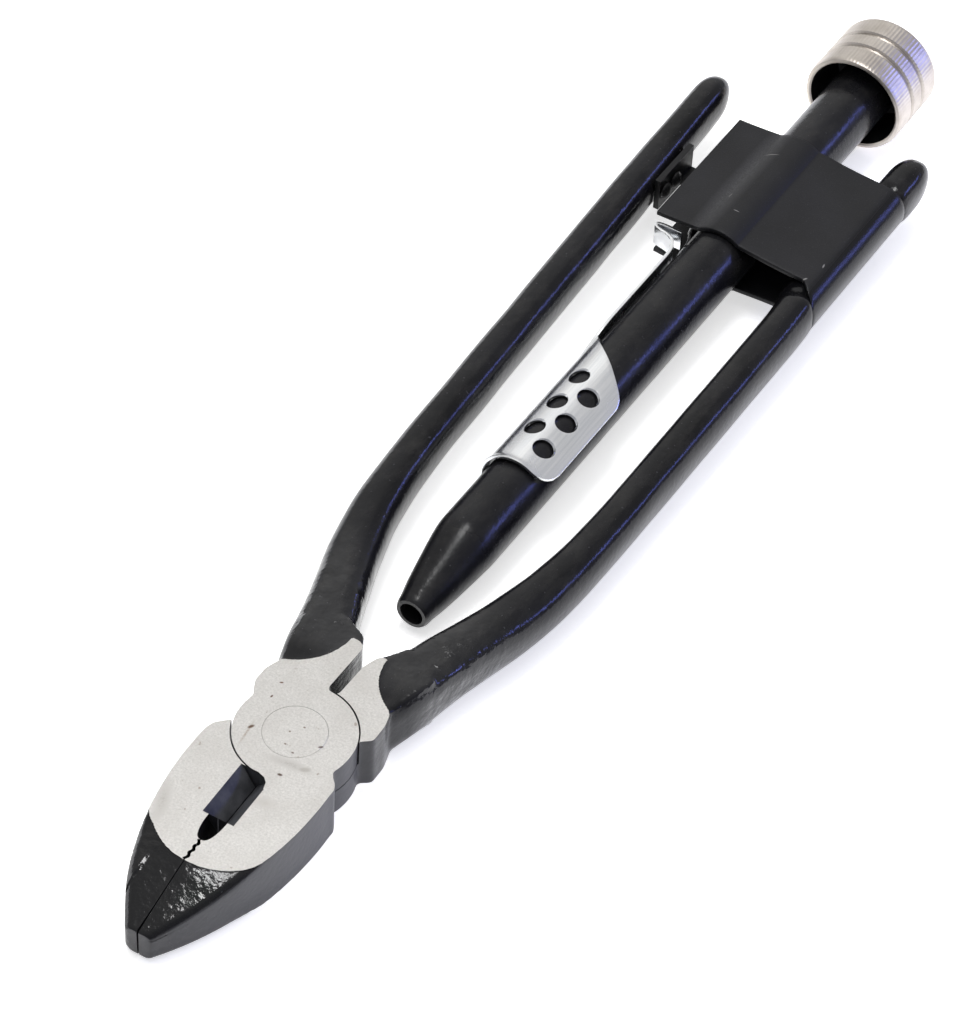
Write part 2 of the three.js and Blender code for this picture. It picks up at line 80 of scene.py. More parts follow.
# Twister
TUBE_X = -1.7
TUBE_RADIUS = 5.5
TUBE_BORE = 4.5
NOSE_Y = 35.2
TAPER_Y = 51
TUBE_END = 184
ROD_LEAD = 40
ROD_WIDTH = 5
ROD_THICKNESS = 1.9
ROD_START = 66
ROD_FLAT_END = 185.6
SPRING_RADIUS = 3.65
SPRING_WIRE = 0.4
SPRING_TURNS = 15
SPRING_FRONT = 65.7
SPRING_REAR = 171.2
KNOB_Y = 178.7
KNOB_LENGTH = 13.1
KNOB_END = KNOB_Y + KNOB_LENGTH
KNOB_RADIUS = 9.55
KNOB_BORE = 8.4
KNOB_WALL = 3.2
KNOB_RIM = 1.0
KNURL_TEETH = 84
KNURL_DEPTH = 0.06
WASHER_Y = KNOB_END + 0.2
SCREW_SEAT = KNOB_END + 1.1

# Bracket and lock slide
SHEET = 0.9
BRACKET_FRONT = 130.5
BRACKET_BACK = 159
WRAP_FRONT = 126.6
BRACKET_LEFT = -13.9
BRACKET_LEFT_Z = 9.8
SHOULDER_Z = 10.45
WRAP_X = 15.1
WRAP_RADIUS = 4.5
WRAP_ROUND = 0.88
SLIDE_SHEET = 0.55
SLEEVE_RADIUS = 5.75
SLEEVE_FRONT = 65.5
SLEEVE_CORNER = 3.4
FLAP = 5.2
FLAP_CURVE = 22
SLIDE_TOP = 8.3
STRIP_LOW = 5.2
HAIRPIN_BOTTOM = 4.35
TONGUE_TOP = 4.1
TONGUE_BOTTOM = 1.2
LUG_Y = 146
LUG_WIDTH = 4
LUG_NOTCH = 2
LOCK_TRAVEL = 4


# ---------------------------------------------------------------- meshes


def linear(hex_colour):
    """An sRGB hex colour as the linear RGBA that shaders take."""
    channels = [int(hex_colour[i : i + 2], 16) / 255 for i in (1, 3, 5)]
    return [c / 12.92 if c <= 0.04045 else ((c + 0.055) / 1.055) ** 2.4 for c in channels] + [1]


def mesh_object(name, points, faces, material=None):
    """A new object from points in mm, with its faces turned outwards."""
    mesh = bpy.data.meshes.new(name)
    mesh.from_pydata([[c * MM for c in p] for p in points], [], faces)
    body = bmesh.new()
    body.from_mesh(mesh)
    bmesh.ops.recalc_face_normals(body, faces=body.faces)
    body.to_mesh(mesh)
    body.free()
    if material:
        mesh.materials.append(material)
    made = bpy.data.objects.new(name, mesh)
    bpy.context.scene.collection.objects.link(made)
    return made


def loft(name, rings, material=None, hollow=False):
    """Joins rings of points: capped at both ends, or closed on itself as a hollow one is."""
    count = len(rings[0])
    spans = len(rings) if hollow else len(rings) - 1
    faces = []
    for i in range(spans):
        here, there = i * count, (i + 1) % len(rings) * count
        for j in range(count):
            k = (j + 1) % count
            faces.append((here + j, here + k, there + k, there + j))
    if not hollow:
        last = (len(rings) - 1) * count
        faces += [tuple(range(count)), tuple(range(last, last + count))]
    return mesh_object(name, [p for ring in rings for p in ring], faces, material)


def prism(name, outline, bottom, top, material=None):
    """An outline in x and y, raised from one height to another."""
    return loft(name, [[(x, y, z) for x, y in outline] for z in (bottom, top)], material)


def long_prism(name, outline, start, end, material=None):
    """An outline in x and z, run along Y."""
    return loft(name, [[(x, y, z) for x, z in outline] for y in (start, end)], material)


def disc(name, radius, bottom, top, material=None, sides=128):
    turns = [i / sides * math.tau for i in range(sides)]
    outline = [(radius * math.cos(t), radius * math.sin(t)) for t in turns]
    return prism(name, outline, bottom, top, material)


def turned(name, profile, material=None, sides=96, radial=None):
    """A closed profile of radius and y, turned about the tube. radial varies a radius by turn."""
    rings = []
    for i in range(sides):
        turn = i / sides * math.tau
        ring = []
        for r, y in profile:
            reach = radial(r, y, turn) if radial else r
            ring.append((TUBE_X + reach * math.cos(turn), y, MID + reach * math.sin(turn)))
        rings.append(ring)
    return loft(name, rings, material, hollow=True)


def sheet_solid(name, outer, inner, material=None):
    """A solid sheet between two grids of points with the same rows and columns."""
    rows, cols = len(outer), len(outer[0])
    points = [p for grid in (outer, inner) for row in grid for p in row]
    back = rows * cols
    faces = []
    for i in range(rows - 1):
        for j in range(cols - 1):
            a, b, c, d = i * cols + j, i * cols + j + 1, (i + 1) * cols + j + 1, (i + 1) * cols + j
            faces += [(a, b, c, d), (back + d, back + c, back + b, back + a)]
    rim = [i * cols for i in range(rows)] + [(rows - 1) * cols + j for j in range(1, cols)]
    rim += [i * cols + cols - 1 for i in range(rows - 2, -1, -1)]
    rim += list(range(cols - 2, 0, -1))
    for i, a in enumerate(rim):
        b = rim[(i + 1) % len(rim)]
        faces.append((a, b, back + b, back + a))
    return mesh_object(name, points, faces, material)


def settle(piece):
    """Puts the modifiers' result into the piece's mesh."""
    graph = bpy.context.evaluated_depsgraph_get()
    mesh = bpy.data.meshes.new_from_object(piece.evaluated_get(graph))
    piece.modifiers.clear()
    piece.data = mesh
    return piece


def modify(piece, kind, **settings):
    modifier = piece.modifiers.new(kind.title(), kind)
    for key, value in settings.items():
        setattr(modifier, key, value)
    return settle(piece)


def combine(piece, operation, *tools):
    """Cuts, joins or crosses a piece with tools, whose faces keep their own material."""
    for tool in tools:
        settings = {"operation": operation, "solver": "EXACT", "material_mode": "TRANSFER"}
        modify(piece, "BOOLEAN", object=tool, **settings)
        bpy.data.objects.remove(tool)
    return piece


def joined(name, *pieces):
    """Several closed bodies as one mesh."""
    body = bmesh.new()
    for piece in pieces:
        body.from_mesh(piece.data)
    mesh = bpy.data.meshes.new(name)
    body.to_mesh(mesh)
    body.free()
    for material in pieces[0].data.materials:
        mesh.materials.append(material)
    for piece in pieces:
        bpy.data.objects.remove(piece)
    made = bpy.data.objects.new(name, mesh)
    bpy.context.scene.collection.objects.link(made)
    return made


def reshape(piece, change):
    """Moves every point by a function of its x, y and z in mm."""
    for vertex in piece.data.vertices:
        vertex.co = Vector(change(*(vertex.co / MM))) * MM
    return piece


def finish_piece(piece, body, nodes, angle=32):
    """Smooth faces with sharp creases, then the piece's body, and its CAD nodes hidden."""
    mesh = piece.data
    mesh.shade_smooth()
    work = bmesh.new()
    work.from_mesh(mesh)
    limit = math.radians(angle)
    for edge in work.edges:
        sides = edge.link_faces
        if len(sides) == 2:
            changes = sides[0].material_index != sides[1].material_index
            edge.smooth = not changes and edge.calc_face_angle(0) < limit
    work.to_mesh(mesh)
    work.free()
    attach(piece, body)
    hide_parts(*nodes)
    return piece


def soften_edges(piece, width, angle):
    """Rounds the edges that turn by more than an angle in degrees."""
    limit = math.radians(angle)
    modify(piece, "BEVEL", width=width * MM, segments=2, limit_method="ANGLE", angle_limit=limit)


def ease(value, low, high):
    """0 below low, 1 above high, and a smooth rise between."""
    share = min(1, max(0, (value - low) / (high - low)))
    return share * share * (3 - 2 * share)


def along(stations, steps):
    """A smooth curve through stations, each a list of numbers led by where it lies."""
    table = np.array(stations, float)
    where = table[:, 0]
    rise = np.diff(table, axis=0) / np.diff(where)[:, None]
    slope = np.zeros_like(table)
    both = rise[:-1] * rise[1:] > 0
    slope[1:-1][both] = (2 * rise[:-1] * rise[1:])[both] / (rise[:-1] + rise[1:])[both]
    slope[0], slope[-1] = rise[0], rise[-1]
    found = []
    for at in steps:
        i = int(np.clip(np.searchsorted(where, at) - 1, 0, len(where) - 2))
        span = where[i + 1] - where[i]
        t = (at - where[i]) / span
        a, b = 2 * t**3 - 3 * t**2 + 1, t**3 - 2 * t**2 + t
        c, d = -2 * t**3 + 3 * t**2, t**3 - t**2
        start = a * table[i] + b * span * slope[i]
        found.append(start + c * table[i + 1] + d * span * slope[i + 1])
    return found


def rounded(path, rounds=2, closed=False):
    """Cuts a path's corners again and again until it runs smooth."""
    for _ in range(rounds):
        pairs = list(zip(path, path[1:] + path[:1] if closed else path[1:]))
        cut = []
        for p, q in pairs:
            cut.append(tuple(a * 0.75 + b * 0.25 for a, b in zip(p, q)))
            cut.append(tuple(a * 0.25 + b * 0.75 for a, b in zip(p, q)))
        path = cut if closed else [path[0], *cut, path[-1]]
    return path


# ---------------------------------------------------------------- materials


def add_node(tree, kind, inputs=None, stops=None, **settings):
    """Adds a node, sets its properties and ramp stops, and gives each input a value or a link."""
    made = tree.nodes.new(kind)
    for key, value in settings.items():
        setattr(made, key, value)
    for i, (place, colour) in enumerate(stops or []):
        stop = made.color_ramp.elements[i] if i < 2 else made.color_ramp.elements.new(place)
        stop.position, stop.color = place, linear(colour)
    for key, value in (inputs or {}).items():
        if isinstance(value, bpy.types.NodeSocket):
            tree.links.new(value, made.inputs[key])
        else:
            made.inputs[key].default_value = value
    return made


def start_material(name):
    """A new material: its node tree, and the part's own coordinates, in metres."""
    material = bpy.data.materials.new(name)
    material.use_nodes = True
    material.node_tree.nodes.clear()
    place = add_node(material.node_tree, "ShaderNodeTexCoord").outputs["Object"]
    return material, material.node_tree, place


def per_mm(size):
    """A texture's scale for a pattern that repeats about every size mm."""
    return 1 / (size * MM)


def grain(tree, place, size, detail=2.0, stretch=None, turn=0.0, roughness=0.5):
    """Noise of a size in mm. stretch lengthens it along x, y and z, after a turn about Z."""
    if stretch:
        settings = {"Vector": place, "Scale": [1 / s for s in stretch], "Rotation": [0, 0, turn]}
        place = add_node(tree, "ShaderNodeMapping", settings).outputs[0]
    wanted = {"Vector": place, "Scale": per_mm(size), "Detail": detail, "Roughness": roughness}
    return add_node(tree, "ShaderNodeTexNoise", wanted).outputs["Fac"]


def spread(tree, value, low, high, to_low, to_high):
    """Takes low to to_low and high to to_high, and holds outside."""
    wanted = {"Value": value, "From Min": low, "From Max": high}
    wanted |= {"To Min": to_low, "To Max": to_high}
    return add_node(tree, "ShaderNodeMapRange", wanted).outputs[0]


def band(tree, value, low, high, to_low, to_high):
    """spread for a coordinate, with low and high in mm."""
    return spread(tree, value, low * MM, high * MM, to_low, to_high)


def even(amount):
    """A roughness as a grey, for blend."""
    return (amount, amount, amount, 1)


def blend(tree, share, first, second):
    wanted = {0: share, 6: first, 7: second}
    return add_node(tree, "ShaderNodeMix", wanted, data_type="RGBA").outputs[2]


def relief(tree, height, depth, normal=None):
    """Bump of a depth in mm for a height of 1, on top of another bump."""
    wanted = {"Height": height, "Distance": depth * MM, "Strength": 1.0}
    if normal:
        wanted["Normal"] = normal
    return add_node(tree, "ShaderNodeBump", wanted).outputs[0]


def product(tree, first, second):
    return add_node(tree, "ShaderNodeMath", {0: first, 1: second}, operation="MULTIPLY").outputs[0]


def finish_material(tree, inputs):
    shader = add_node(tree, "ShaderNodeBsdfPrincipled", inputs)
    add_node(tree, "ShaderNodeOutputMaterial", {"Surface": shader.outputs[0]})


def finish_metal(tree, colour, gloss, bump):
    wanted = {"Base Color": colour, "Metallic": 1.0, "Roughness": gloss, "Normal": bump}
    finish_material(tree, wanted)


def mark(tree, place, x, y, length, width, turn, soft=0.35):
    """A soft-edged oval mark on the plan of the part: 1 inside, 0 outside."""
    moved = add_node(
        tree,
        "ShaderNodeMapping",
        {
            "Vector": place,
            "Location": [x * MM, y * MM, 0],
            "Rotation": [0, 0, math.radians(turn)],
            "Scale": [length * MM / 2, width * MM / 2, 1],
        },
        vector_type="TEXTURE",
    ).outputs[0]
    reach = add_node(tree, "ShaderNodeVectorMath", {0: moved}, operation="LENGTH").outputs["Value"]
    return spread(tree, reach, 1 - soft, 1 + soft, 1, 0)


# Gloss stoving enamel, dipped and baked over a forging: near-black, wet gloss broken by sags, fine
# orange peel and dust. It is thickest on the nose and the necks, where it runs and glints.
# drawn is for the tube, whose nose is duller than the rest.
def dipped_enamel(name, base, pale, dust, low_gloss, high_gloss, drawn=False):
    material, tree, place = start_material(name)
    cloud = grain(tree, place, 14, 3)
    haze = grain(tree, place, 2.6, 5, (1, 2, 1), roughness=0.65)
    specks = spread(tree, grain(tree, place, 0.55, 1), 0.73, 0.78, 0, 1)
    colour = blend(tree, spread(tree, cloud, 0.35, 0.7, 0, 1), linear(base), linear(pale))
    colour = blend(tree, spread(tree, haze, 0.45, 0.75, 0, 0.7), colour, linear("#2b2a29"))
    colour = blend(tree, specks, colour, linear(dust))
    # On the head's upright walls the black is painted grey, a painted reflection of the white
    # floor, and the coat is duller there.
    steep = add_node(tree, "ShaderNodeNewGeometry").outputs["Normal"]
    steep = add_node(tree, "ShaderNodeSeparateXYZ", {0: steep}).outputs["Z"]
    steep = add_node(tree, "ShaderNodeMath", {0: steep}, operation="ABSOLUTE").outputs[0]
    along_y = add_node(tree, "ShaderNodeSeparateXYZ", {0: place}).outputs["Y"]
    head = product(tree, band(tree, along_y, -40, -8, 0.3, 1), band(tree, along_y, 3, 8, 1, 0))
    painted_wall_reflection = product(tree, spread(tree, steep, 0.2, 0.6, 1, 0), head)
    painted_wall_reflection = product(tree, painted_wall_reflection, spread(tree, cloud, 0.3, 0.7, 0.75, 1))
    colour = blend(tree, painted_wall_reflection, colour, linear("#545456"))
    sag = relief(tree, grain(tree, place, 6, 1, (1, 3, 1)), 0.16)
    peel = relief(tree, grain(tree, place, 1.0, 3), 0.05, sag)
    neck = product(tree, band(tree, along_y, 14, 18, 0, 1), band(tree, along_y, 30, 42, 1, 0))
    nose = product(tree, band(tree, along_y, -29, -25, 1, 0), spread(tree, steep, 0.5, 0.8, 0, 1))
    runs = product(tree, nose, grain(tree, place, 3.2, 4, roughness=0.55))
    peel = relief(tree, runs, 0.25, peel)
    colour = blend(tree, nose, colour, linear("#08080a"))
    peel = relief(tree, product(tree, neck, grain(tree, place, 2.6, 3)), 0.3, peel)
    gloss = spread(tree, grain(tree, place, 5, 4), 0.3, 0.7, low_gloss, high_gloss)
    # The upright walls that carry the painted reflection are also made rougher.
    gloss = blend(tree, painted_wall_reflection, gloss, even(0.5))
    if drawn:
        gloss = blend(tree, band(tree, along_y, 46, 53, 1, 0), gloss, even(0.32))
    wet = add_node(tree, "ShaderNodeMath", {0: nose, 1: neck}, operation="ADD", use_clamp=True)
    wet = product(tree, wet.outputs[0], 0.55)
    wanted = {"Base Color": colour, "Roughness": gloss, "Normal": peel, "IOR": 1.5}
    wanted |= {"Specular IOR Level": 0.25}
    wanted |= {"Coat Weight": wet, "Coat Roughness": 0.12, "Coat Normal": peel}
    finish_material(tree, wanted)
    return material


# Surface-ground tool steel: flat, pale and warm grey with crossed grinding lines, pitted by a few
# rust specks and smeared where parts rub.
def ground_steel():
    material, tree, place = start_material("surface_ground_steel")
    lines = grain(tree, place, 0.16, 3, (1, 14, 1), math.radians(35))
    speckle = grain(tree, place, 0.35, 4, roughness=0.7)
    cloud = grain(tree, place, 6, 3)
    pale = spread(tree, speckle, 0.3, 0.7, 0, 1)
    colour = blend(tree, pale, linear("#c0bebb"), linear("#dcdad7"))
    colour = blend(tree, spread(tree, cloud, 0.4, 0.75, 0, 0.45), colour, linear("#bdbab6"))
    rust = spread(tree, grain(tree, place, 1.5, 2), 0.72, 0.76, 0, 0.6)
    colour = blend(tree, rust, colour, linear("#8a7a6c"))
    for x, y, length, width, turn, shade, share in STEEL_MARKS:
        patch = mark(tree, place, x, y, length, width, turn, 0.35 if length < 2 else 0.9)
        if length > 2:
            patch = product(tree, patch, spread(tree, speckle, 0.38, 0.6, 0.15, 1))
        colour = blend(tree, spread(tree, patch, 0, 1, 0, share), colour, linear(shade))
    gloss = spread(tree, speckle, 0.25, 0.75, 0.27, 0.37)
    bump = relief(tree, lines, 0.006)
    bump = relief(tree, speckle, 0.008, bump)
    finish_metal(tree, colour, gloss, bump)
    return material


# Marks on the ground faces: x, y, length, width, turn in degrees, colour and strength.
STEEL_MARKS = [
    (-6.0, -4.3, 3.4, 0.3, 97, "#8d7a68", 0.8),
    (-6.1, -2.9, 1.1, 0.5, 60, "#5e4636", 0.9),
    (2.9, -5.7, 5.0, 1.3, 8, "#a39f9b", 0.75),
    (5.4, -5.3, 1.6, 0.8, 30, "#a8a39e", 0.6),
    (-6.9, 3.8, 0.55, 0.3, 80, "#5c4234", 0.95),
    (-7.2, 6.9, 0.6, 0.3, 30, "#6b4f40", 0.95),
    (2.8, -8.2, 0.8, 0.45, 10, "#4f3a30", 0.9),
    (4.9, -0.3, 0.8, 0.35, 40, "#5a463a", 0.9),
    (0.7, 1.5, 0.4, 0.3, 0, "#6b5a4c", 0.8),
    (-0.7, -0.4, 0.35, 0.3, 0, "#6b5a4c", 0.8),
    (0.1, -2.8, 0.4, 0.3, 0, "#6b5a4c", 0.8),
    (2.0, -3.6, 0.45, 0.3, 0, "#5f4c3f", 0.8),
    (4.0, -13.9, 2.6, 1.6, 20, "#b1aca6", 0.6),
    (-9.0, -22.0, 5.5, 1.6, 110, "#97928d", 0.6),
]


# Machined steel left dark with milling lines: phosphated in the laps and cutters, black with oil in
# the pipe grip and the lug. The same near-black in the knob's bore is painted shade of its recess.
def machined_steel(name, dark, pale):
    material, tree, place = start_material(name)
    lines = grain(tree, place, 0.3, 2, (1, 1, 9))
    cloud = grain(tree, place, 2.5, 4)
    colour = blend(tree, spread(tree, cloud, 0.3, 0.7, 0, 1), linear(dark), linear(pale))
    bump = relief(tree, lines, 0.02)
    gloss = spread(tree, cloud, 0.3, 0.7, 0.36, 0.55)
    wanted = {"Base Color": colour, "Metallic": 0.1, "Roughness": gloss, "Normal": bump}
    finish_material(tree, wanted | {"Specular IOR Level": 0.3})
    return material


# Powder-coated mild steel sheet: satin charcoal with a fine sandy grain, with a painted highlight,
# a paler soft band along its crease, and glossy where it wraps the handle.
def coated_sheet():
    material, tree, place = start_material("powder_coated_sheet")
    sand = grain(tree, place, 0.28, 2, roughness=0.7)
    cloud = grain(tree, place, 9, 3)
    colour = blend(tree, spread(tree, cloud, 0.3, 0.7, 0, 1), linear("#131315"), linear("#1a1a1d"))
    colour = blend(tree, spread(tree, sand, 0.62, 0.8, 0, 0.5), colour, linear("#4a4a4d"))
    # Painted highlight: a paler soft band along the bend where the sheet rises over the tube.
    crease_highlight = mark(tree, place, -5.4, 144.5, 34.0, 2.9, 90, 0.8)
    crease_highlight = product(tree, crease_highlight, spread(tree, sand, 0.35, 0.65, 0.35, 1))
    colour = blend(tree, crease_highlight, colour, linear("#454547"))
    for x, y, length, width, turn in SHEET_SCRATCHES:
        scratch = mark(tree, place, x, y, length, width, turn)
        colour = blend(tree, scratch, colour, linear("#7d7c7a"))
    bump = relief(tree, sand, 0.03)
    bump = relief(tree, grain(tree, place, 7, 1), 0.12, bump)
    side = add_node(tree, "ShaderNodeSeparateXYZ", {0: place}).outputs["X"]
    side = band(tree, side, 16.3, 17.4, 0, 1)
    colour = blend(tree, side, colour, linear("#0d0d10"))
    gloss = blend(tree, side, spread(tree, sand, 0.3, 0.7, 0.42, 0.58), even(0.2))
    wanted = {"Base Color": colour, "Roughness": gloss, "Normal": bump, "Specular IOR Level": 0.3}
    finish_material(tree, wanted)
    return material


# Scratches on the bracket: x, y, length, width, turn in degrees.
SHEET_SCRATCHES = [
    (-1.8, 136.6, 1.0, 0.16, 0),
    (-4.0, 152.8, 2.2, 0.14, 15),
    (-5.0, 140.2, 0.9, 0.12, 80),
    (16.2, 135.4, 0.9, 0.25, 100),
    (17.6, 135.9, 0.8, 0.2, 70),
    (15.2, 130.8, 0.8, 0.3, 60),
]


# Bright zinc-plated spring sheet: blue-white mirror softened by rolling lines along its length.
def plated_sheet():
    material, tree, place = start_material("bright_zinc_plated_sheet")
    lines = grain(tree, place, 0.5, 2, (1, 30, 1))
    cloud = grain(tree, place, 7, 3)
    colour = blend(tree, spread(tree, lines, 0.3, 0.7, 0, 1), linear("#eceef1"), linear("#fafbfc"))
    colour = blend(tree, spread(tree, cloud, 0.45, 0.8, 0, 0.3), colour, linear("#d3d6da"))
    gloss = spread(tree, cloud, 0.3, 0.7, 0.2, 0.3)
    bump = relief(tree, lines, 0.0015)
    bump = relief(tree, cloud, 0.06, bump)
    finish_metal(tree, colour, gloss, bump)
    return material


# Satin nickel over a turned and knurled knob: warm pale grey, with rings, and darker brown in the
# hollows.
def turned_nickel():
    material, tree, place = start_material("satin_nickel_knob")
    rings = grain(tree, place, 0.22, 2, (12, 1, 12))
    cloud = grain(tree, place, 4, 3)
    colour = blend(tree, spread(tree, cloud, 0.3, 0.7, 0, 1), linear("#c1b9b0"), linear("#d8d1c9"))
    # Darker brown where the surface is hollow: the grooves and the knurl's valleys.
    edge = add_node(tree, "ShaderNodeNewGeometry").outputs["Pointiness"]
    colour = blend(tree, spread(tree, edge, 0.42, 0.49, 0.75, 0), colour, linear("#6e6459"))
    gloss = spread(tree, rings, 0.3, 0.7, 0.36, 0.48)
    bump = relief(tree, rings, 0.012)
    finish_metal(tree, colour, gloss, bump)
    return material


# Small turned metal with fine rings: zinc plate on the rod and screw, spring steel, and brass.
def turned_metal(name, dark, pale, rough):
    material, tree, place = start_material(name)
    rings = grain(tree, place, 0.3, 2, (8, 1, 8))
    cloud = grain(tree, place, 3, 3)
    colour = blend(tree, spread(tree, cloud, 0.3, 0.7, 0, 1), linear(dark), linear(pale))
    gloss = spread(tree, rings, 0.3, 0.7, rough, rough + 0.14)
    bump = relief(tree, rings, 0.01)
    finish_metal(tree, colour, gloss, bump)
    return material


ENAMEL = dipped_enamel("black_stoving_enamel", "#0b0b0d", "#17171a", "#38383a", 0.13, 0.22)
TUBE_ENAMEL = dipped_enamel(
    "black_stoving_enamel_tube", "#141416", "#1c1c1f", "#3a3a3c", 0.17, 0.27, drawn=True
)
GROUND = ground_steel()
MACHINED = machined_steel("phosphated_machined_steel", "#37383b", "#545559")
OILED_STEEL_AND_BORE_SHADE = machined_steel("oiled_steel_and_painted_bore_shade", "#0f0f10", "#1b1b1c")
COATED = coated_sheet()
PLATED = plated_sheet()
NICKEL = turned_nickel()
ZINC = turned_metal("zinc_plated_steel", "#b6b5b2", "#d2d1ce", 0.22)
SPRING = turned_metal("oiled_spring_steel", "#5b5c5e", "#7c7d7f", 0.25)
BRASS = turned_metal("turned_brass", "#a98746", "#c9a660", 0.24)

# ---------------------------------------------------------------- forged halves

# Where a handle lies: y, x of its centre, half its width, half its height, and how square it is.
HANDLE = [
    [10, 5.6, 4.0, 5.65, 5],
    [14, 6.7, 4.4, 5.65, 4.6],
    [19.5, 7.7, 5.0, 5.65, 3.8],
    [24.5, 9.0, 4.75, 5.62, 3.2],
    [31.5, 11.0, 4.5, 5.02, 2.7],
    [40, 13.4, 4.35, 4.9, 2.5],
    [49.5, 15.2, 3.95, 4.7, 2.5],
    [60, 16.05, 3.6, 4.5, 2.5],
    [72, 16.3, 3.45, 4.4, 2.5],
    [96, 16.3, 3.45, 4.4, 2.5],
    [120, 16.3, 3.45, 4.4, 2.5],
]
PLAIN_END = [[142, 16.3, 3.4, 4.35, 2.5], [164, 16.2, 3.1, 4.1, 2.5]]
BRACKET_GRIP = [
    [126.2, 16.05, 3.5, 4.3, 2.5],
    [128.4, WRAP_X + 0.1, 3.35, 3.42, 2.3],
    [144, WRAP_X + 0.1, 3.35, 3.42, 2.3],
    [158.2, WRAP_X + 0.1, 3.35, 3.42, 2.3],
    [160.6, 16.2, 3.5, 4.35, 2.5],
    [164, 16.3, 3.5, 4.3, 2.5],
]
END_Y = 170.9
DOME_Y = 163.6
CROWN = 5.65
# The ground face of the jaws ends on a circle, above and below, and the nose falls away from it.
GROUND_X = 0.4
GROUND_Y = -17.7
GROUND_RADIUS = 11.7
UNDER_RADIUS = 12
GROUND_RISE = 0.6
NOSE_FALL = 0.28
UNDER_FALL = 0.065
NOSE_EDGE = 0.75


def handle_bar(name, stations, mirror, turn):
    steps = [10 + i * 0.8 for i in range(int((DOME_Y - 10) / 0.8) + 1)]
    rows = along(stations, steps)
    last = rows[-1]
    for i in range(1, 15):
        part = math.sin(i / 14 * math.pi / 2)
        size = max(0.04, (1 - part**2.3) ** (1 / 2.3))
        y = DOME_Y + (END_Y - DOME_Y) * part
        rows.append([y, last[1], last[2] * size, last[3] * size, last[4]])
    rings = []
    for i, (y, x, half_width, half_height, square) in enumerate(rows):
        before, after = rows[max(i - 1, 0)], rows[min(i + 1, len(rows) - 1)]
        heading = math.atan2(after[1] - before[1], after[0] - before[0]) if y < DOME_Y else 0
        ring = []
        for j in range(56):
            t = j / 56 * math.tau
            c, s = math.cos(t), math.sin(t)
            across = half_width * math.copysign(abs(c) ** (2 / square), c)
            up = half_height * math.copysign(abs(s) ** (2 / square), s)
            px, py = x + across * math.cos(heading), y - across * math.sin(heading)
            px *= -1 if mirror else 1
            cos_turn, sin_turn = math.cos(turn), math.sin(turn)
            ring.append((px * cos_turn - py * sin_turn, px * sin_turn + py * cos_turn, MID + up))
        rings.append(ring)
    return loft(name, rings)


def jaw_place(points, side):
    """Points of the right-hand jaw's own frame, put where that side's jaw lies."""
    c, s = math.cos(JAW_YAW), math.sin(JAW_YAW)
    return [(side * x * c - y * s + JAW_OFFSET, side * x * s + y * c) for x, y in points]


# How far each jaw reaches from the split line, from the shoulder to the tip: distance, reach.
LEFT_REACH = [
    [4.85, 10.58], [6.57, 11.2], [8.45, 11.32], [11.5, 11.31], [15.9, 11.08], [19.9, 10.58],
    [23.6, 9.94], [27.2, 9.32], [30.5, 8.38], [33.7, 7.15], [37.3, 5.25], [42, 2.25],
]
RISE = JAW_LENGTH - 10
INSET = JAW_HALF - TIP_HALF
ARC_RADIUS = (INSET**2 + RISE**2) / (2 * INSET)
ARC_X = JAW_HALF - ARC_RADIUS


def jaw_reach(y, side):
    """The half width of a jaw at y in its own frame."""
    if side < 0:
        return float(np.interp(-y, *zip(*LEFT_REACH)))
    if y > -10:
        return JAW_HALF - 0.03 * (y + 10) * (y < -7.4)
    return ARC_X + math.sqrt(max(0, ARC_RADIUS**2 - (y + 10) ** 2))


def jaw_blank(name, side):
    """A jaw's forging, left long across the split line."""
    outline = [(-1.4, -4), (-1.4, -JAW_LENGTH)]
    if side > 0:
        outline += [(jaw_reach(y, side), y) for y in np.linspace(-JAW_LENGTH, -7.5, 44)]
        outline += [(11.8, -6.6), (11.5, -5.9), (11.1, -5.2), (10.5, -4.75), (9.9, -3.8), (6, -2)]
    else:
        steps = np.linspace(JAW_LENGTH, LEFT_REACH[0][0], 44)
        outline += [(row[1], -row[0]) for row in along(LEFT_REACH, steps)]
        outline += [(9.9, -4.3), (9.3, -3.6), (6, -2)]
    return prism(name, jaw_place(outline, side), MID - CROWN, MID + CROWN)


def split_cutter(name, side):
    """What is machined off a jaw at the split line: the flat, the pipe grip and its teeth."""
    inner = JAW_GAP / 2
    edge = [(inner, -3), (inner, -CUTTER_END)]
    length = GRIP_END - CUTTER_END
    for i in range(13):
        turn = i / 12 * math.pi / 2
        bulge = GRIP_HALF * max(0, math.cos(turn)) ** 0.8
        edge.append((inner + bulge, -CUTTER_END - length * math.sin(turn)))
    teeth = []
    for i in range(TOOTH_COUNT * 2 + 1):
        depth = TOOTH_DEPTH / 2 * (1 if i % 2 else -1)
        teeth.append((inner + 0.2 + side * depth, -GRIP_END - 0.15 - i * TOOTH_PITCH / 2))
    edge += rounded(teeth, 1)
    edge += [(inner, -GRIP_END - 0.4 - TOOTH_COUNT * TOOTH_PITCH), (inner, -JAW_LENGTH + 5)]
    edge += [(inner + 0.12, -JAW_LENGTH - 2)]
    outline = edge + [(-4, -JAW_LENGTH - 2), (-4, -3)]
    tool = prism(name, jaw_place(outline, side), -3, 14, OILED_STEEL_AND_BORE_SHADE)
    low, high = (MID + LAP_GAP / 2, 15) if side > 0 else (-4, MID - LAP_GAP / 2)
    return combine(tool, "DIFFERENCE", disc(name + "_keep", BOSS_RADIUS, low, high, MACHINED))


